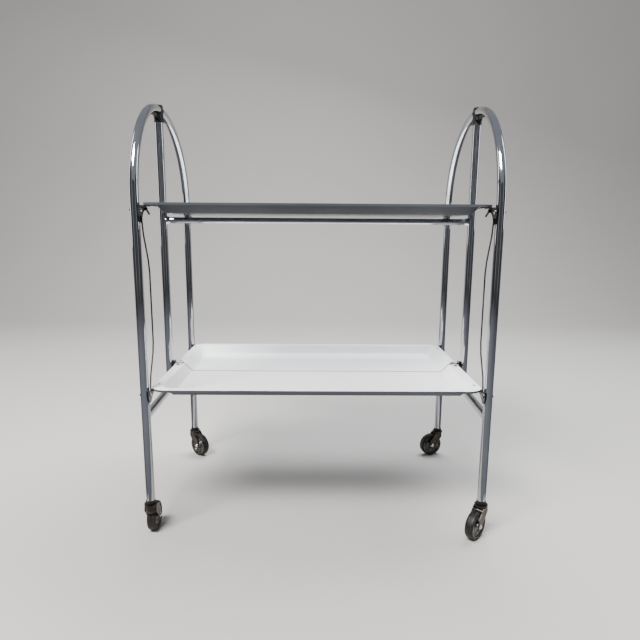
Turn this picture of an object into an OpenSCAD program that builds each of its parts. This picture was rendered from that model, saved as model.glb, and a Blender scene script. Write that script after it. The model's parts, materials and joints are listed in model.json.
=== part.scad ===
// Folding two-tier serving trolley: chrome tube ends with arched tops, two
// enamelled trays that each fold upwards along a lengthwise seam, swivel castors.

/* [Frame] */
// Outside diameter of the frame tube
tube_d = 16; // [14:0.5:18]
// Wall thickness of the frame tube
tube_wall = 1.3; // [1:0.1:2]
// Half the distance between left and right legs
leg_x = 314; // [300:1:330]
// Half the distance between left and right centre posts
post_x = 318.5; // [316:0.5:332]
// Half the distance between front and rear legs, and radius of the end arches
leg_y = 182; // [170:1:195]
// Height of the lower end of each leg tube
leg_foot_z = 70; // [68:1:74]
// Height where the straight leg turns into the arch
spring_z = 625; // [600:1:650]
// Height of the stretchers between leg and centre post
stretcher_z = 235.5; // [215:0.5:245]
// Diameter of the cross rail under the upper tray
rail_d = 12.4; // [10:0.2:14]

/* [Trays] */
// Height of the upper tray rim
upper_z = 620; // [610:1:630]
// Height of the lower tray rim
lower_z = 288; // [275:1:300]
// Half length of a tray
tray_x = 304.5; // [295:0.5:305]
// Half depth of a tray, front to back
tray_y = 191; // [185:0.5:192]
// Outer corner radius of a tray
tray_r = 28; // [26:1:36]
// Depth of the tray well
well = 16.5; // [12:0.5:20]
// Width of the flat rim at the tray ends
rim_end = 18; // [14:0.5:22]
// Width of the flat rim along the front and back
rim_side = 13; // [10:0.5:18]
// Sheet thickness of the trays
sheet = 1; // [0.8:0.1:1.4]

/* [Castors] */
// Wheel diameter
wheel_d = 54.5; // [50:0.5:56]
// Wheel width
wheel_w = 16.5; // [12:0.5:17]
// Distance from swivel axis to wheel axle
trail = 19; // [12:0.5:20]
// Swivel angle of the front left castor
swivel_fl = 92; // [0:1:359]
// Swivel angle of the front right castor
swivel_fr = 225; // [0:1:359]
// Swivel angle of the rear left castor
swivel_rl = 321; // [0:1:359]
// Swivel angle of the rear right castor
swivel_rr = 196; // [0:1:359]

/* [Hidden] */
oy = 11.7;                       // moves the model so its base is centred on the origin
$fn = 48;
tr = tube_d/2;
br = tr - tube_wall;
apex_z = spring_z + leg_y;
cut = 9.5;                       // arch ends stop this far from the post axis
arc_end = acos(cut/leg_y);       // angle swept by each quarter arch
toe = asin((post_x-leg_x)/leg_y);// legs stand slightly inboard of the posts
boss_r = 9;
pin_up = 2.2;                    // hinge axis above the rim
wr = wheel_d/2;
well_x = tray_x - rim_end;
well_y = tray_y - rim_side;
slope = 15;
plate = 1.6;

// each quarter of an end frame is drawn at the post axis, reaching towards -Y
module quarter(sx, sy) {
  mirror([sx > 0 ? 1 : 0, 0, 0]) translate([-post_x, 0, 0])
    mirror([0, sy > 0 ? 1 : 0, 0]) rotate([0, 0, toe]) children();
}
module each_quarter() { for (sx = [-1, 1]) for (sy = [-1, 1]) quarter(sx, sy) children(); }

module leg_tube() {
  color([0.75, 0.76, 0.78]) {
    translate([0, -leg_y, leg_foot_z]) difference() {
      cylinder(r = tr, h = spring_z - leg_foot_z);
      translate([0, 0, -1]) cylinder(r = br, h = spring_z - leg_foot_z + 2);
    }
    translate([0, 0, spring_z]) rotate([0, 0, 90]) rotate([90, 0, 0]) rotate([0, 0, 180 - arc_end])
      rotate_extrude(angle = arc_end, $fn = 96)
        translate([leg_y, 0]) difference() { circle(r = tr); circle(r = br); }
  }
}

module post() {
  color([0.75, 0.76, 0.78]) translate([-post_x, 0, stretcher_z + tr]) difference() {
    cylinder(r = tr, h = apex_z - 17.5 - stretcher_z - tr);
    translate([0, 0, -1]) cylinder(r = br, h = 900);
  }
}

// black head: boss over the post top, plugs into both arches, web under each arch
module web(len) {
  intersection() {
    translate([-2.2, -len, apex_z - tr - 8.5]) cube([4.4, len, 14]);
    difference() {
      translate([0, 0, spring_z]) rotate([0, 90, 0]) cylinder(r = leg_y - tr, h = 20, center = true, $fn = 128);
      translate([0, 0, spring_z]) rotate([0, 90, 0]) cylinder(r = leg_y - tr - 9, h = 22, center = true, $fn = 128);
    }
  }
}
module head_block() {
  color([0.06, 0.06, 0.06]) translate([-post_x, 0, 0]) {
    difference() {
      union() {
        translate([0, 0, apex_z - 24]) cylinder(r = tr + 1, h = 24 + tr - 0.6);
        translate([0, 0, apex_z + tr - 0.6]) cylinder(r1 = tr + 1, r2 = tr - 0.5, h = 2);
        translate([0, 0, apex_z - tr - 8]) intersection() {
          cylinder(r = 15, h = 7);
          translate([-6, -20, 0]) cube([12, 40, 7]);
        }
      }
      translate([0, 0, apex_z - 25]) cylinder(r = tr, h = 7.5);
    }
    rotate([0, 0, toe]) { web(52); plug_end(); }
    mirror([0, 1, 0]) rotate([0, 0, toe]) { web(58); plug_end(); }
  }
}
module plug_end() {
  translate([0, 0, spring_z]) rotate([0, 0, 90]) rotate([90, 0, 0])
    rotate([0, 0, 92.2]) rotate_extrude(angle = 6, $fn = 96)
      translate([leg_y, 0]) circle(r = br - 0.05);
}

module stretcher() {
  color([0.75, 0.76, 0.78]) difference() {
    translate([0, 0, stretcher_z]) rotate([90, 0, 0]) difference() {
      cylinder(r = tr, h = leg_y);
      translate([0, 0, -1]) cylinder(r = br, h = leg_y + 2);
    }
    translate([0, -leg_y, stretcher_z - 20]) cylinder(r = tr, h = 40);
    translate([0, 0, stretcher_z - 20]) cylinder(r = tr + 1.5, h = 40);
  }
}
// plug closing the post foot; both stretchers butt against its collar
module foot_plug() {
  color([0.75, 0.76, 0.78]) translate([-post_x, 0, 0]) {
    translate([0, 0, stretcher_z - tr]) cylinder(r = tr + 1.5, h = 2 * tr);
    translate([0, 0, stretcher_z + tr]) cylinder(r = br - 0.05, h = 14);
    translate([0, 0, stretcher_z - tr - 2]) cylinder(r1 = tr - 1, r2 = tr + 1.5, h = 2);
  }
}

module cross_rail() {
  rz = upper_z - well - sheet - 4.2 - rail_d / 2;
  color([0.75, 0.76, 0.78]) {
    difference() {
      translate([-post_x, 0, rz]) rotate([0, 90, 0]) difference() {
        cylinder(r = rail_d / 2, h = 2 * post_x);
        translate([0, 0, -1]) cylinder(r = rail_d / 2 - 1.2, h = 2 * post_x + 2);
      }
      for (s = [-1, 1]) translate([s * post_x, 0, rz - 20]) cylinder(r = tr, h = 40);
    }
    // weld fillets at each end
    for (s = [-1, 1]) difference() {
      translate([s * (post_x - tr + 0.5), 0, rz]) rotate([0, -s * 90, 0])
        cylinder(r1 = rail_d / 2 + 3, r2 = rail_d / 2, h = 7.5);
      translate([s * post_x, 0, rz - 20]) cylinder(r = tr, h = 40);
      translate([-post_x, 0, rz]) rotate([0, 90, 0]) cylinder(r = rail_d / 2 - 1.2, h = 2 * post_x);
    }
  }
}

// ---- trays ----
// block with sloped sides and conical corners, standing on the corner centres of its top outline
module frustum(xt, yt, rt, zt, s, zb) {
  cx = xt - rt; cy = yt - rt;
  rotate([90, 0, 0]) linear_extrude(2 * cy, center = true) polygon([[-xt, zt], [s - xt, zb], [xt - s, zb], [xt, zt]]);
  rotate([90, 0, 90]) linear_extrude(2 * cx, center = true) polygon([[-yt, zt], [s - yt, zb], [yt - s, zb], [yt, zt]]);
  for (c = [[1, 1, 0], [-1, 1, 90], [-1, -1, 180], [1, -1, 270]])
    translate([c[0] * cx, c[1] * cy, 0]) rotate([0, 0, c[2]]) rotate_extrude(angle = 90)
      polygon([[0, zb], [rt - s, zb], [rt, zt], [0, zt]]);
}
module pan_solid(o, top) {
  bend = o > 0 ? 14.1 : 13.5;
  frustum(well_x + o, well_y + o, 20 + o, top, 13, -bend);
  frustum(well_x + o - 13, well_y + o - 13, 7 + o, -bend, 3.4, -well - (o > 0 ? sheet : 0));
}
module half_tray(z, s) {
  color([0.93, 0.94, 0.94]) translate([0, 0, z]) intersection() {
    difference() {
      union() {
        difference() {
          frustum(tray_x, tray_y, tray_r, 0, 0, -4);
          frustum(tray_x - 1.1, tray_y - 1.1, tray_r - 1.1, -sheet, 0, -5);
        }
        pan_solid(sheet, -0.4);
      }
      pan_solid(0, 0.4);
    }
    translate([-400, s < 0 ? -300 : 0.25, -60]) cube([800, 299.75, 100]);
  }
}
// one leaf per tray end: small plate on the rim with a knuckle round the pin
module leaf(z, s) {
  kx = s < 0 ? 299.2 : 292.8;     // knuckle position along the pin
  color([0.55, 0.56, 0.58]) for (e = [-1, 1]) {
    difference() {
      union() {
        translate([e * 298, s * 10.5, z + plate / 4]) cube([13, 13, plate / 2], center = true);
        translate([e * kx - (2.6), s < 0 ? -5 : 0.3, z]) cube([5.2, 4.7, plate / 2]);
        translate([e * kx - 2.6, 0, z + pin_up]) rotate([0, 90, 0]) cylinder(r = 2.1, h = 5.2, $fn = 32);
      }
      translate([e * kx - 4, 0, z + pin_up]) rotate([0, 90, 0]) cylinder(r = 1.35, h = 8, $fn = 32);
    }
    // rivet head through leaf and rim
    translate([e * 298, s * 12.5, z + plate / 2]) cylinder(r1 = 3, r2 = 1.8, h = 0.9, $fn = 24);
  }
}
// plate welded to each post, with the pin that carries both tray halves
module seam_brackets(z) {
  color([0.5, 0.5, 0.52]) for (e = [-1, 1]) {
    difference() {
      union() {
        translate([e * 307.2, 0, z + 1]) cube([2, 15, 11], center = true);
        translate([e * (308 + 1.8), 0, z + 1]) cube([4.6, 7, 11], center = true);
      }
      translate([e * post_x, 0, z - 20]) cylinder(r = tr, h = 40);
    }
    translate([e * 299, 0, z + pin_up]) rotate([0, 90, 0]) cylinder(r = 1.27, h = 18, center = true, $fn = 32);
    translate([e * 289.4, 0, z + pin_up]) rotate([0, 90, 0]) cylinder(r = 1.9, h = 1.2, center = true, $fn = 32);
  }
}

// triangular plate on the inner face of each leg with a tab under the tray rim
module corner_bracket(z, h) {
  translate([tr - 0.2, -leg_y, z]) {
    rotate([90, 0, 90]) linear_extrude(plate)
      polygon([[-9, -4.4], [-9, -15], [-5, -h], [3, -h - 2], [16, -17], [37, -8], [37, -4.4]]);
    translate([0, 6, -6]) cube([9, 31, plate]);
  }
}
module corner_brackets(sy) {
  color([0.42, 0.42, 0.44]) for (sx = [-1, 1]) quarter(sx, sy) difference() {
    union() {
      corner_bracket(upper_z, 33);
      corner_bracket(lower_z, 25);
      if (sy < 0) translate([tr - 0.2 + plate, -leg_y + 28, upper_z - 10.2]) rotate([0, 90, 0]) {
        cylinder(r = 1.32, h = 3.6, $fn = 32);
        translate([0, 0, 3.1]) cylinder(r1 = 2.3, r2 = 1.6, h = 0.9, $fn = 32);
      }
    }
    translate([0, -leg_y, 0]) cylinder(r = tr, h = 700);
  }
}
module bolts() {
  color([0.7, 0.7, 0.7]) each_quarter() for (z = [upper_z - 12, lower_z - 11]) difference() {
    union() {
      translate([tr + plate - 0.2, -leg_y, z]) rotate([0, 90, 0]) {
        cylinder(r = 3.6, h = 1.2, $fn = 32);
        translate([0, 0, 1.2]) cylinder(r1 = 3.6, r2 = 2, h = 1.3, $fn = 32);
      }
      translate([-tr - 1.6, -leg_y, z]) rotate([0, 90, 0]) cylinder(r1 = 2, r2 = 3.8, h = 3, $fn = 32);
    }
    translate([0, -leg_y, z - 20]) cylinder(r = tr, h = 40);
  }
}

// finger lever that frees the front half trays, and the wire rod it pulls
module lever(sx) {
  quarter(sx, -1) color([0.08, 0.08, 0.08]) translate([tr + plate + 0.1, -leg_y + 28, upper_z - 10.2]) {
    difference() {
      union() {
        rotate([0, 90, 0]) cylinder(r = 3.2, h = 2.5, $fn = 32);
        translate([1.25, 0, 0]) rotate([-116, 0, 0]) cylinder(r = 1.2, h = 6, $fn = 24);
        translate([1.25, 0, 0]) rotate([-116, 0, 0]) translate([0, 0, 5]) cylinder(r1 = 1.2, r2 = 1.9, h = 2, $fn = 24);
        translate([1.25, 0, 0]) rotate([-116, 0, 0]) translate([0, 0, 7]) cylinder(r = 1.9, h = 12, $fn = 24);
        translate([1.25, 0, 0]) rotate([-116, 0, 0]) translate([0, 0, 19]) cylinder(r1 = 1.9, r2 = 1.1, h = 0.9, $fn = 24);
      }
      translate([-1, 0, 0]) rotate([0, 90, 0]) cylinder(r = 1.4, h = 6, $fn = 32);
    }
  }
}
// the rod runs straight down the leg, bowed inboard between the brackets
bow = 8.9; rod_top = 597; rod_end = 283.5; bow_top = 88; bow_foot = 84;
function ease(t) = t <= 0 ? 0 : t >= 1 ? 1 : t * t * (3 - 2 * t);
function rod_x(z) = 303.1 - bow * min(ease((rod_top - 9 - z) / bow_top), ease((z - rod_end - 9) / bow_foot));
function rod_zs() = [rod_top, rod_top - 9, rod_top - 31, rod_top - 53, rod_top - 75, rod_top - 97, rod_end + 93, rod_end + 72, rod_end + 51, rod_end + 30, rod_end + 9, rod_end];
ROD = [for (z = rod_zs()) [rod_x(z), z]];
module rod(sx) {
  // the rod slides between the front leg and the tray edge
  color([0.6, 0.6, 0.62]) for (i = [0 : len(ROD) - 2]) {
    a = ROD[i]; b = ROD[i + 1];
    dx = (b[0] - a[0]) * sx; dz = b[1] - a[1]; L = sqrt(dx * dx + dz * dz);
    translate([sx * a[0], -leg_y, a[1]]) rotate([0, atan2(dx, dz), 0]) cylinder(r = 1.4, h = L, $fn = 24);
    if (i < len(ROD) - 2) translate([sx * b[0], -leg_y, b[1]]) sphere(r = 1.5, $fn = 24);
  }
}

// ---- castors: drawn with the swivel axis at the origin and the trail along +X ----
module at_castor(sx, sy, a) { translate([sx * leg_x, sy * leg_y * cos(toe), 0]) rotate([0, 0, a]) children(); }
module leg_socket() {
  color([0.06, 0.06, 0.06]) difference() {
    union() {
      translate([0, 0, 63.5]) cylinder(r = tr + 0.9, h = leg_foot_z - 63.5);
      translate([0, 0, leg_foot_z]) cylinder(r = br - 0.05, h = 24);
    }
    translate([0, 0, 60]) cylinder(r = 4.2, h = 30);
  }
}
module fork() {
  cheek = 1.7; gap = wheel_w / 2 + 1.3;
  color([0.16, 0.15, 0.14]) {
    translate([0, 0, 62.8]) cylinder(r = 4.12, h = 24);
    translate([0, 0, 59.6]) cylinder(r = 12.4, h = 3.2);
    // boss above the wheel, hollowed to clear it
    difference() {
      translate([0, 0, 46]) cylinder(r1 = 10.2, r2 = 11, h = 13.6);
      translate([trail, 0, wr]) rotate([90, 0, 0]) cylinder(r = wr + 2.2, h = 60, center = true, $fn = 96);
    }
    // two cheeks down to the axle
    for (s = [-1, 1]) translate([0, s * (gap + cheek / 2), 0]) rotate([90, 0, 0])
      linear_extrude(cheek, center = true) difference() {
        union() {
          polygon([[-5, 59.6], [-6.5, 50], [trail - 6.6, wr - 2], [trail + 6.6, wr - 2], [trail + 5, wr + 14], [8.5, 59.6]]);
          translate([trail, wr]) circle(r = 7);
        }
        translate([trail, wr]) circle(r = 2.6);
      }
  }
}
module axle() {
  color([0.6, 0.6, 0.6]) translate([trail, 0, wr]) rotate([90, 0, 0]) {
    cylinder(r = 2.6, h = wheel_w + 6.2, center = true);
    for (s = [-1, 1]) translate([0, 0, s * (wheel_w / 2 + 3.9)]) rotate([s < 0 ? 180 : 0, 0, 0]) cylinder(r1 = 4.4, r2 = 2.8, h = 1.8, center = true);
  }
}
module wheel_disc() {
  w = wheel_w / 2;
  side = [[2.68, 0.9], [6.2, 0.9], [7, -1.5], [10, -3.6], [14, -3.4], [16, -1.8], [17.2, -1.8], [18, -3], [20, -3], [20.8, -0.8], [22, -0.8]];
  n = len(side);
  color([0.2, 0.19, 0.18]) translate([trail, 0, wr]) rotate([90, 0, 0]) rotate_extrude($fn = 72)
    polygon([for (i = [0 : n - 1]) [side[i][0], -w - side[i][1]], for (i = [n - 1 : -1 : 0]) [side[i][0], w + side[i][1]]]);
}
module tyre() {
  w = wheel_w / 2;
  side = [[22, -0.8], [23.4, -0.1], [24.6, 0], [25.8, -0.6], [26.8, -2.2], [wr, -4.8]];
  n = len(side);
  color([0.05, 0.05, 0.05]) translate([trail, 0, wr]) rotate([90, 0, 0]) rotate_extrude($fn = 72)
    polygon([for (i = [0 : n - 1]) [side[i][0], -w - side[i][1]], for (i = [n - 1 : -1 : 0]) [side[i][0], w + side[i][1]]]);
}

module shift() { translate([0, oy, 0]) children(); }

shift() post();  // left_post
shift() mirror([1, 0, 0]) post();  // right_post
shift() cross_rail();
shift() head_block();  // left_head_block
shift() mirror([1, 0, 0]) head_block();  // right_head_block
shift() quarter(-1, -1) leg_tube();  // front_left_leg
shift() quarter(1, -1) leg_tube();  // front_right_leg
shift() quarter(-1, 1) leg_tube();  // rear_left_leg
shift() quarter(1, 1) leg_tube();  // rear_right_leg
shift() quarter(-1, -1) stretcher();  // front_left_stretcher
shift() quarter(1, -1) stretcher();  // front_right_stretcher
shift() quarter(-1, 1) stretcher();  // rear_left_stretcher
shift() quarter(1, 1) stretcher();  // rear_right_stretcher
shift() foot_plug();  // left_post_foot_plug
shift() mirror([1, 0, 0]) foot_plug();  // right_post_foot_plug
shift() at_castor(-1, -1, 0) leg_socket();  // front_left_leg_socket
shift() at_castor(1, -1, 0) leg_socket();  // front_right_leg_socket
shift() at_castor(-1, 1, 0) leg_socket();  // rear_left_leg_socket
shift() at_castor(1, 1, 0) leg_socket();  // rear_right_leg_socket
shift() seam_brackets(upper_z);  // upper_seam_brackets
shift() seam_brackets(lower_z);  // lower_seam_brackets
shift() corner_brackets(-1);  // front_corner_brackets
shift() corner_brackets(1);  // rear_corner_brackets
shift() bolts();  // bracket_bolts
shift() half_tray(upper_z, -1);  // front_upper_tray
shift() half_tray(upper_z, 1);  // rear_upper_tray
shift() half_tray(lower_z, -1);  // front_lower_tray
shift() half_tray(lower_z, 1);  // rear_lower_tray
shift() leaf(upper_z, -1);  // front_upper_hinge_leaves
shift() leaf(upper_z, 1);  // rear_upper_hinge_leaves
shift() leaf(lower_z, -1);  // front_lower_hinge_leaves
shift() leaf(lower_z, 1);  // rear_lower_hinge_leaves
shift() lever(-1);  // left_catch_lever
shift() lever(1);  // right_catch_lever
shift() rod(-1);  // left_release_rod
shift() rod(1);  // right_release_rod
shift() at_castor(-1, -1, swivel_fl) fork();  // front_left_castor_fork
shift() at_castor(1, -1, swivel_fr) fork();  // front_right_castor_fork
shift() at_castor(-1, 1, swivel_rl) fork();  // rear_left_castor_fork
shift() at_castor(1, 1, swivel_rr) fork();  // rear_right_castor_fork
shift() at_castor(-1, -1, swivel_fl) axle();  // front_left_castor_axle
shift() at_castor(1, -1, swivel_fr) axle();  // front_right_castor_axle
shift() at_castor(-1, 1, swivel_rl) axle();  // rear_left_castor_axle
shift() at_castor(1, 1, swivel_rr) axle();  // rear_right_castor_axle
shift() at_castor(-1, -1, swivel_fl) wheel_disc();  // front_left_wheel_disc
shift() at_castor(1, -1, swivel_fr) wheel_disc();  // front_right_wheel_disc
shift() at_castor(-1, 1, swivel_rl) wheel_disc();  // rear_left_wheel_disc
shift() at_castor(1, 1, swivel_rr) wheel_disc();  // rear_right_wheel_disc
shift() at_castor(-1, -1, swivel_fl) tyre();  // front_left_tyre
shift() at_castor(1, -1, swivel_fr) tyre();  // front_right_tyre
shift() at_castor(-1, 1, swivel_rl) tyre();  // rear_left_tyre
shift() at_castor(1, 1, swivel_rr) tyre();  // rear_right_tyre
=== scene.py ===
import json
import math

import bmesh
import bpy
from mathutils import Matrix, Vector


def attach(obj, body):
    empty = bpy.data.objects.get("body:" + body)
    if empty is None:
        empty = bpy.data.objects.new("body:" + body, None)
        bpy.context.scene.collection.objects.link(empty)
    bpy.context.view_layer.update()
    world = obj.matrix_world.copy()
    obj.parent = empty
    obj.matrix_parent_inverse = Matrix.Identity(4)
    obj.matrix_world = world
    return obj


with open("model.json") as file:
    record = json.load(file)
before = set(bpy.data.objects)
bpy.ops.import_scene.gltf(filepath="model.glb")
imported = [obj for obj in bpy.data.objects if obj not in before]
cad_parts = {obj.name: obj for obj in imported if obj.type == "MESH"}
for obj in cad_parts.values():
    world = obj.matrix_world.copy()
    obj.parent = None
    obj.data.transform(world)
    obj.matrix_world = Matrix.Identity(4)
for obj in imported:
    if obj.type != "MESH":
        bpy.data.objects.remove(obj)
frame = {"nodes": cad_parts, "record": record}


def save_size():
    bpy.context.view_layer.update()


save_size()
nodes = frame["nodes"]
OY = 0.0117


# ---------------------------------------------------------------- materials
class Mat:
    """Small helper around one Principled material with node-built detail."""

    def __init__(self, name, base, metallic=0.0, rough=0.3, coat=0.0, coat_rough=0.05, specular=0.5):
        self.m = bpy.data.materials.new(name)
        self.m.use_nodes = True
        self.t = self.m.node_tree
        self.p = self.t.nodes["Principled BSDF"]
        self.p.inputs["Base Color"].default_value = (*base, 1)
        self.p.inputs["Metallic"].default_value = metallic
        self.p.inputs["Roughness"].default_value = rough
        self.p.inputs["Coat Weight"].default_value = coat
        self.p.inputs["Coat Roughness"].default_value = coat_rough
        self.p.inputs["Specular IOR Level"].default_value = specular
        self.co = self.t.nodes.new("ShaderNodeTexCoord")

    def mapped(self, scale=(1, 1, 1), loc=(0, 0, 0), rot=(0, 0, 0)):
        n = self.t.nodes.new("ShaderNodeMapping")
        n.inputs["Scale"].default_value = scale
        n.inputs["Location"].default_value = loc
        n.inputs["Rotation"].default_value = rot
        self.t.links.new(self.co.outputs["Object"], n.inputs["Vector"])
        return n.outputs["Vector"]

    def noise(self, scale, detail=3.0, rough=0.5, vec=None, distort=0.0):
        n = self.t.nodes.new("ShaderNodeTexNoise")
        n.inputs["Scale"].default_value = scale
        n.inputs["Detail"].default_value = detail
        n.inputs["Roughness"].default_value = rough
        n.inputs["Distortion"].default_value = distort
        self.t.links.new(vec if vec is not None else self.co.outputs["Object"], n.inputs["Vector"])
        return n.outputs["Fac"]

    def spots(self, scale):
        n = self.t.nodes.new("ShaderNodeTexVoronoi")
        n.inputs["Scale"].default_value = scale
        self.t.links.new(self.co.outputs["Object"], n.inputs["Vector"])
        return n.outputs["Distance"]

    def remap(self, v, a, b, c=0.0, d=1.0):
        n = self.t.nodes.new("ShaderNodeMapRange")
        n.inputs["From Min"].default_value = a
        n.inputs["From Max"].default_value = b
        n.inputs["To Min"].default_value = c
        n.inputs["To Max"].default_value = d
        self.t.links.new(v, n.inputs["Value"])
        return n.outputs["Result"]

    def math(self, op, a, b):
        n = self.t.nodes.new("ShaderNodeMath")
        n.operation = op
        for i, v in enumerate((a, b)):
            if isinstance(v, (int, float)):
                n.inputs[i].default_value = v
            else:
                self.t.links.new(v, n.inputs[i])
        return n.outputs[0]

    def mix(self, fac, a, b):
        n = self.t.nodes.new("ShaderNodeMix")
        n.data_type = "RGBA"
        self.t.links.new(fac, n.inputs["Factor"])
        for i, v in ((6, a), (7, b)):
            if isinstance(v, tuple):
                n.inputs[i].default_value = (*v, 1)
            else:
                self.t.links.new(v, n.inputs[i])
        return n.outputs[2]

    def split(self, vec):
        n = self.t.nodes.new("ShaderNodeSeparateXYZ")
        self.t.links.new(vec, n.inputs[0])
        return n.outputs

    def to(self, socket, v):
        self.t.links.new(v, self.p.inputs[socket])

    def bump(self, height, strength, distance):
        n = self.t.nodes.new("ShaderNodeBump")
        n.inputs["Strength"].default_value = strength
        n.inputs["Distance"].default_value = distance
        self.t.links.new(height, n.inputs["Height"])
        self.t.links.new(n.outputs["Normal"], self.p.inputs["Normal"])


def chrome():
    m = Mat("chrome_tube", (0.47, 0.48, 0.5), metallic=1.0, rough=0.1)
    cloud = m.noise(9.0, 4.0, 0.6)
    fine = m.noise(260.0, 3.0, 0.6)
    streak = m.noise(60.0, 4.0, 0.7, m.mapped((1, 1, 0.05)))
    pits = m.remap(m.spots(420.0), 0.02, 0.10, 1.0, 0.0)
    patch = m.remap(m.noise(22.0, 3.0, 0.6), 0.54, 0.66)
    z = m.split(m.co.outputs["Object"])[2]
    low = m.remap(z, 0.06, 0.34, 1.0, 0.25)
    tarnish = m.math("MULTIPLY", m.math("MULTIPLY", pits, patch), low)
    m.to("Base Color", m.mix(tarnish, m.mix(m.remap(cloud, 0.35, 0.7), (0.42, 0.435, 0.465), (0.52, 0.53, 0.55)), (0.12, 0.08, 0.05)))
    r = m.math("ADD", m.remap(cloud, 0.3, 0.75, 0.04, 0.1), m.remap(streak, 0.5, 0.8, 0.0, 0.09))
    r = m.math("ADD", r, m.math("MULTIPLY", tarnish, 0.4))
    m.to("Roughness", r)
    m.bump(m.math("ADD", m.math("MULTIPLY", fine, 0.2), m.math("MULTIPLY", streak, 0.4)), 0.05, 0.0003)
    return m.m


def enamel():
    m = Mat("tray_enamel", (0.85, 0.87, 0.89), rough=0.14, coat=0.6, coat_rough=0.05)
    nz = m.split(m.co.outputs["Normal"])[2]
    # faces turned downward get dark grey in place of the white: painted shade on the tray's underside
    painted_shade_underside_mask = m.remap(nz, 0.3, 0.2)
    cloud = m.noise(4.0, 4.0, 0.55)
    speck = m.remap(m.spots(150.0), 0.012, 0.03, 1.0, 0.0)
    where = m.remap(m.noise(17.0, 3.0, 0.5), 0.55, 0.63)
    chips = m.math("MULTIPLY", speck, where)
    white = m.mix(m.remap(cloud, 0.3, 0.72), (0.92, 0.94, 0.96), (0.95, 0.96, 0.965))
    white = m.mix(m.math("MULTIPLY", chips, 0.7), white, (0.3, 0.27, 0.24))
    # dark grey painted shade for the underside of the white enamel, with real chips mixed in below
    underside_painted_shade_and_chips = m.mix(m.remap(cloud, 0.3, 0.72), (0.036, 0.040, 0.047), (0.062, 0.067, 0.076))
    underside_painted_shade_and_chips = m.mix(m.math("MULTIPLY", chips, 0.5), underside_painted_shade_and_chips, (0.4, 0.4, 0.4))
    y = m.split(m.co.outputs["Object"])[1]
    off = m.math("ABSOLUTE", m.math("SUBTRACT", y, OY), 0)
    # dark line along the seam between the two halves: painted shade of the gap, with a softer painted shade beside
    # it
    seam_gap_painted_shade = m.remap(off, 0.0016, 0.0026, 0.95, 0.0)
    seam_side_painted_shade = m.remap(off, 0.001, 0.006, 0.10, 0.0)
    white = m.mix(m.math("MAXIMUM", seam_gap_painted_shade, seam_side_painted_shade), white, (0.16, 0.15, 0.14))
    m.to("Base Color", m.mix(painted_shade_underside_mask, white, underside_painted_shade_and_chips))
    scratch = m.noise(30.0, 5.0, 0.75, m.mapped((0.06, 1.0, 1.0), rot=(0, 0, 0.22)))
    rub = m.remap(scratch, 0.55, 0.75, 0.0, 0.12)
    m.to("Roughness", m.math("ADD", m.remap(cloud, 0.3, 0.7, 0.1, 0.2), rub))
    m.to("Coat Weight", m.remap(nz, 0.3, 0.2, 0.6, 0.05))
    m.to("Specular IOR Level", m.remap(nz, 0.3, 0.2, 0.5, 0.2))
    peel = m.noise(130.0, 2.0, 0.5)
    wave = m.noise(7.0, 1.0, 0.4)
    m.bump(m.math("ADD", m.math("MULTIPLY", peel, 0.08), m.math("MULTIPLY", wave, 1.0)), 0.16, 0.0012)
    return m.m


def black_plastic():
    m = Mat("black_plastic", (0.012, 0.012, 0.013), rough=0.42, specular=0.3)
    wear = m.remap(m.noise(55.0, 4.0, 0.6), 0.55, 0.75)
    m.to("Base Color", m.mix(wear, (0.004, 0.004, 0.0045), (0.016, 0.0155, 0.015)))
    m.to("Roughness", m.remap(m.noise(40.0, 3.0, 0.6), 0.3, 0.7, 0.32, 0.55))
    m.bump(m.noise(900.0, 2.0, 0.5), 0.18, 0.0003)
    return m.m


def steel(name, dark, light, rust, rough, rust_at):
    m = Mat(name, light, metallic=1.0, rough=rough)
    grain = m.noise(300.0, 4.0, 0.6, m.mapped((1, 0.12, 1)))
    cloud = m.noise(45.0, 4.0, 0.6)
    patch = m.remap(m.noise(70.0, 5.0, 0.7), rust_at, rust_at + 0.12)
    m.to("Base Color", m.mix(patch, m.mix(m.remap(cloud, 0.35, 0.68), dark, light), rust))
    m.to("Roughness", m.math("ADD", m.remap(cloud, 0.3, 0.7, rough - 0.08, rough + 0.12), m.math("MULTIPLY", patch, 0.25)))
    m.bump(m.math("ADD", grain, m.math("MULTIPLY", patch, 0.6)), 0.12, 0.0003)
    return m.m


def wheel_metal(name, centre, angle):
    """Ring ridges are measured from the wheel's own axle."""
    m = Mat(name, (0.2, 0.18, 0.16), metallic=1.0, rough=0.32)
    vec = m.mapped(loc=(-centre[0], -centre[1], -centre[2]))
    rot = m.t.nodes.new("ShaderNodeVectorRotate")
    rot.rotation_type = "Z_AXIS"
    rot.inputs["Angle"].default_value = -angle
    m.t.links.new(vec, rot.inputs["Vector"])
    x, y, z = m.split(rot.outputs["Vector"])[0:3]
    r = m.math("SQRT", m.math("ADD", m.math("MULTIPLY", x, x), m.math("MULTIPLY", z, z)), 0)
    wave = m.math("SINE", m.math("MULTIPLY", r, 2 * math.pi / 0.0021), 0)
    cloud = m.noise(90.0, 4.0, 0.65)
    # the brownish patches are a painted reflection
    painted_brown_reflection = m.remap(cloud, 0.5, 0.68)
    # the light rings in the colour are painted highlights on the ring ridges
    painted_ring_highlight = m.remap(wave, -0.2, 0.8)
    m.to("Base Color", m.mix(painted_brown_reflection, m.mix(painted_ring_highlight, (0.035, 0.032, 0.03), (0.3, 0.285, 0.27)), (0.07, 0.045, 0.028)))
    m.to("Roughness", m.remap(cloud, 0.3, 0.7, 0.22, 0.5))
    m.bump(m.math("ADD", wave, m.math("MULTIPLY", cloud, 0.6)), 0.55, 0.0004)
    return m.m


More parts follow.
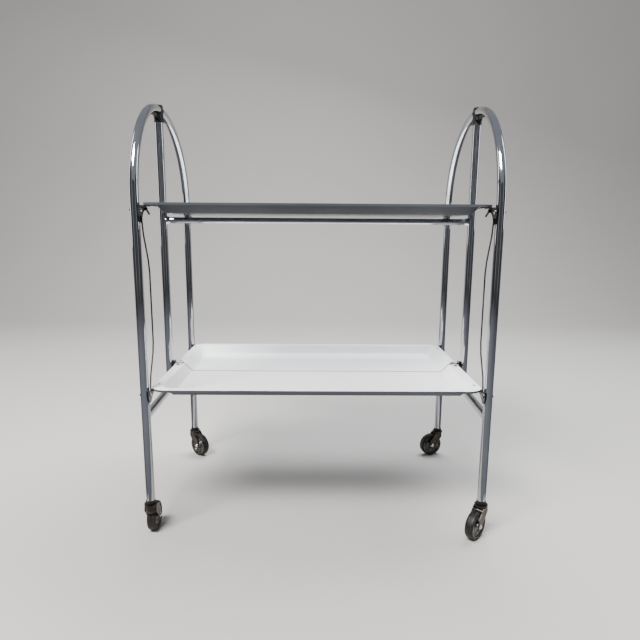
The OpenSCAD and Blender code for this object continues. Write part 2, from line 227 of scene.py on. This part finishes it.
def tyre(name, centre, angle):
    m = Mat(name, (0.012, 0.012, 0.012), rough=0.62, specular=0.3)
    vec = m.mapped(loc=(-centre[0], -centre[1], -centre[2]))
    rot = m.t.nodes.new("ShaderNodeVectorRotate")
    rot.rotation_type = "Z_AXIS"
    rot.inputs["Angle"].default_value = -angle
    m.t.links.new(vec, rot.inputs["Vector"])
    x, y, z = m.split(rot.outputs["Vector"])[0:3]
    r = m.math("SQRT", m.math("ADD", m.math("MULTIPLY", x, x), m.math("MULTIPLY", z, z)), 0)
    tread = m.remap(r, 0.0255, 0.0272)
    dust = m.remap(m.noise(120.0, 5.0, 0.7), 0.42, 0.66)
    worn = m.math("MULTIPLY", tread, dust)
    m.to("Base Color", m.mix(worn, (0.004, 0.004, 0.0045), (0.02, 0.018, 0.016)))
    m.to("Roughness", m.remap(dust, 0.0, 1.0, 0.42, 0.7))
    line = m.math("SINE", m.math("MULTIPLY", r, 2 * math.pi / 0.0016), 0)
    m.bump(m.math("ADD", m.math("MULTIPLY", line, 0.25), m.noise(500.0, 3.0, 0.6)), 0.3, 0.0004)
    return m.m


mats = {
    "chrome_tube": chrome(),
    "tray_enamel": enamel(),
    "black_plastic": black_plastic(),
    "dark_steel": steel("dark_steel", (0.05, 0.05, 0.055), (0.15, 0.15, 0.16), (0.10, 0.055, 0.03), 0.34, 0.62),
    "bright_steel": steel("bright_steel", (0.42, 0.42, 0.44), (0.62, 0.62, 0.64), (0.2, 0.13, 0.08), 0.24, 0.64),
    "castor_metal": steel("castor_metal", (0.03, 0.026, 0.022), (0.11, 0.095, 0.08), (0.11, 0.06, 0.03), 0.36, 0.55),
}


def paint(obj, mat):
    if obj.data.materials:
        for i in range(len(obj.data.materials)):
            obj.data.materials[i] = mat
    else:
        obj.data.materials.append(mat)


SWIVEL = {"front_left": 92, "front_right": 225, "rear_left": 321, "rear_right": 196}
LEG = {"front_left": (-0.314, -0.170244), "front_right": (0.314, -0.170244), "rear_left": (-0.314, 0.193644), "rear_right": (0.314, 0.193644)}
for corner, deg in SWIVEL.items():
    a = math.radians(deg)
    c = (LEG[corner][0] + 0.019 * math.cos(a), LEG[corner][1] + 0.019 * math.sin(a), 0.02725)
    paint(nodes[corner + "_wheel_disc"], wheel_metal("wheel_metal_" + corner, c, a))
    paint(nodes[corner + "_tyre"], tyre("tyre_rubber_" + corner, c, a))

slots = {s["node"]: s["material_slot"] for s in frame["record"]["subparts"]}
for name, obj in nodes.items():
    if slots[name] in mats:
        paint(obj, mats[slots[name]])


# ------------------------------------------------------- small extra pieces
def lathe(name, profile, segments=32):
    bm = bmesh.new()
    rings = []
    for r, z in profile:
        if r < 1e-7:
            rings.append([bm.verts.new((0, 0, z))])
        else:
            rings.append([bm.verts.new((r * math.cos(2 * math.pi * i / segments), r * math.sin(2 * math.pi * i / segments), z)) for i in range(segments)])
    for a, b in zip(rings, rings[1:]):
        for i in range(segments):
            j = (i + 1) % segments
            if len(a) == 1:
                bm.faces.new((a[0], b[i], b[j]))
            elif len(b) == 1:
                bm.faces.new((a[i], a[j], b[0]))
            else:
                bm.faces.new((a[i], a[j], b[j], b[i]))
    bmesh.ops.recalc_face_normals(bm, faces=bm.faces)
    me = bpy.data.meshes.new(name)
    bm.to_mesh(me)
    bm.free()
    for p in me.polygons:
        p.use_smooth = True
    o = bpy.data.objects.new(name, me)
    bpy.context.scene.collection.objects.link(o)
    return o


RIVET = [(0.0, -0.0004), (0.0026, -0.0004), (0.0028, 0.0001), (0.0025, 0.0006), (0.0016, 0.0010), (0.0007, 0.00118), (0.0, 0.0012)]
for tier, z in (("upper", 0.620), ("lower", 0.288)):
    for half, s, y in (("front", -1, -0.152), ("rear", 1, 0.152)):
        for side in (-1, 1):
            o = lathe(f"{half}_{tier}_corner_rivet_{'left' if side < 0 else 'right'}", RIVET)
            o.location = (side * 0.2965, y + OY, z)
            paint(o, mats["dark_steel"])
            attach(o, f"{half}_{tier}_tray_half")


LEAF = [(0.0, -0.0004), (0.0033, -0.0004), (0.0034, 0.0004), (0.0031, 0.0010), (0.0021, 0.0015), (0.0009, 0.00172), (0.0, 0.00175)]
for tier, z in (("upper", 0.620), ("lower", 0.288)):
    for half, s in (("front", -1), ("rear", 1)):
        for side in (-1, 1):
            o = lathe(f"{half}_{tier}_leaf_rivet_{'left' if side < 0 else 'right'}", LEAF)
            o.location = (side * 0.298, s * 0.0125 + OY, z + 0.0008)
            paint(o, mats["dark_steel"])
            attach(o, f"{half}_{tier}_tray_half")


# ------------------------------------------------------------------- stage
def stage_mat(name, color, rough):
    m = Mat(name, color, rough=rough)
    m.to("Base Color", m.mix(m.remap(m.noise(1.4, 2.0, 0.5), 0.3, 0.7), tuple(c * 0.97 for c in color), color))
    return m.m


def sweep(name, half, back, height, radius):
    """Floor that curves up into a backdrop."""
    pts = [(-4.0, 0.0), (back - radius, 0.0)]
    for i in range(1, 17):
        a = math.pi / 2 * i / 16
        pts.append((back - radius + radius * math.sin(a), radius - radius * math.cos(a)))
    pts.append((back, height))
    bm = bmesh.new()
    rows = [(bm.verts.new((-half, y, z)), bm.verts.new((half, y, z))) for y, z in pts]
    for a, b in zip(rows, rows[1:]):
        bm.faces.new((a[0], a[1], b[1], b[0]))
    me = bpy.data.meshes.new(name)
    bm.to_mesh(me)
    bm.free()
    for p in me.polygons:
        p.use_smooth = True
    o = bpy.data.objects.new(name, me)
    bpy.context.scene.collection.objects.link(o)
    return o


floor = sweep("floor", 6.0, 3.2, 4.0, 1.2)
paint(floor, stage_mat("floor_pale", (0.36, 0.35, 0.335), 0.75))


def only_mirrored(o):
    """The card is seen only in the plating's reflections."""
    o.visible_camera = False
    o.visible_diffuse = False
    o.visible_transmission = False
    o.visible_shadow = False


def panel(name, loc, size, look, color):
    """Dark flags beside and behind the camera, so that the plating has something dark to mirror."""
    bm = bmesh.new()
    w, h = size
    vs = [bm.verts.new(v) for v in ((-w / 2, -h / 2, 0), (w / 2, -h / 2, 0), (w / 2, h / 2, 0), (-w / 2, h / 2, 0))]
    bm.faces.new(vs)
    me = bpy.data.meshes.new(name)
    bm.to_mesh(me)
    bm.free()
    o = bpy.data.objects.new(name, me)
    bpy.context.scene.collection.objects.link(o)
    o.location = loc
    o.rotation_euler = (Vector(look) - Vector(loc)).to_track_quat("Z", "Y").to_euler()
    paint(o, stage_mat(name + "_cloth", color, 0.9))
    only_mirrored(o)
    return o


panel("flag_left", (-2.6, -0.9, 0.8), (3.0, 2.2), (0, 0, 0.5), (0.03, 0.03, 0.032))
panel("flag_right", (2.6, -0.9, 0.8), (3.0, 2.2), (0, 0, 0.5), (0.03, 0.03, 0.032))
panel("flag_front", (0.0, -3.0, 0.9), (3.6, 1.9), (0, 0, 0.5), (0.05, 0.048, 0.045))

panel("card_left", (-1.95, -0.6, 0.002), (3.0, 3.6), (-1.95, -0.6, 3.0), (0.035, 0.035, 0.04))
panel("card_right", (1.95, -0.6, 0.002), (3.0, 3.6), (1.95, -0.6, 3.0), (0.035, 0.035, 0.04))
panel("card_front", (0.0, -1.78, 0.003), (7.0, 3.0), (0.0, -1.78, 3.0), (0.06, 0.062, 0.07))

world = bpy.data.worlds.new("studio")
bpy.context.scene.world = world
world.use_nodes = True
world.node_tree.nodes["Background"].inputs["Color"].default_value = (0.86, 0.9, 1.0, 1)
world.node_tree.nodes["Background"].inputs["Strength"].default_value = 0.42


def area(name, loc, look, size, power, color=(1, 1, 1)):
    d = bpy.data.lights.new(name, "AREA")
    d.shape = "RECTANGLE"
    d.size, d.size_y = size
    d.energy = power
    d.color = color
    o = bpy.data.objects.new(name, d)
    o.location = loc
    o.rotation_euler = (Vector(look) - Vector(loc)).to_track_quat("-Z", "Y").to_euler()
    bpy.context.scene.collection.objects.link(o)
    return o


area("key", (-0.9, -1.5, 2.5), (0, 0, 0.35), (1.3, 0.8), 250, (1.0, 0.98, 0.95))
top = area("top", (0.5, 0.9, 2.6), (0, 0, 0.4), (2.2, 1.2), 175, (0.95, 0.97, 1.0))
top.visible_glossy = False
area("side", (2.2, 0.2, 1.4), (0, 0, 0.45), (0.5, 1.8), 14, (0.93, 0.96, 1.0))
area("side_left", (-2.2, 0.5, 1.3), (0, 0, 0.45), (0.4, 1.8), 11, (1.0, 0.98, 0.95))

# ------------------------------------------------------------------ camera
YAW, PITCH, ROLL = -0.0085, 0.1774, 0.0066
cam_data = bpy.data.cameras.new("camera")
cam_data.sensor_width = 36.0
cam_data.sensor_fit = "HORIZONTAL"
cam_data.lens = 29.297
cam = bpy.data.objects.new("camera", cam_data)
bpy.context.scene.collection.objects.link(cam)
turn = Matrix.Rotation(YAW, 3, "Z")
right = turn @ Vector((1, 0, 0))
ahead = turn @ Vector((0, math.cos(PITCH), -math.sin(PITCH)))
up = right.cross(ahead)
right2 = math.cos(ROLL) * right + math.sin(ROLL) * up
up2 = -math.sin(ROLL) * right + math.cos(ROLL) * up
cam.matrix_world = Matrix((
    (right2.x, up2.x, -ahead.x, -0.0034),
    (right2.y, up2.y, -ahead.y, -1.0959 + OY),
    (right2.z, up2.z, -ahead.z, 0.581),
    (0, 0, 0, 1),
))
bpy.context.scene.camera = cam

save_size()
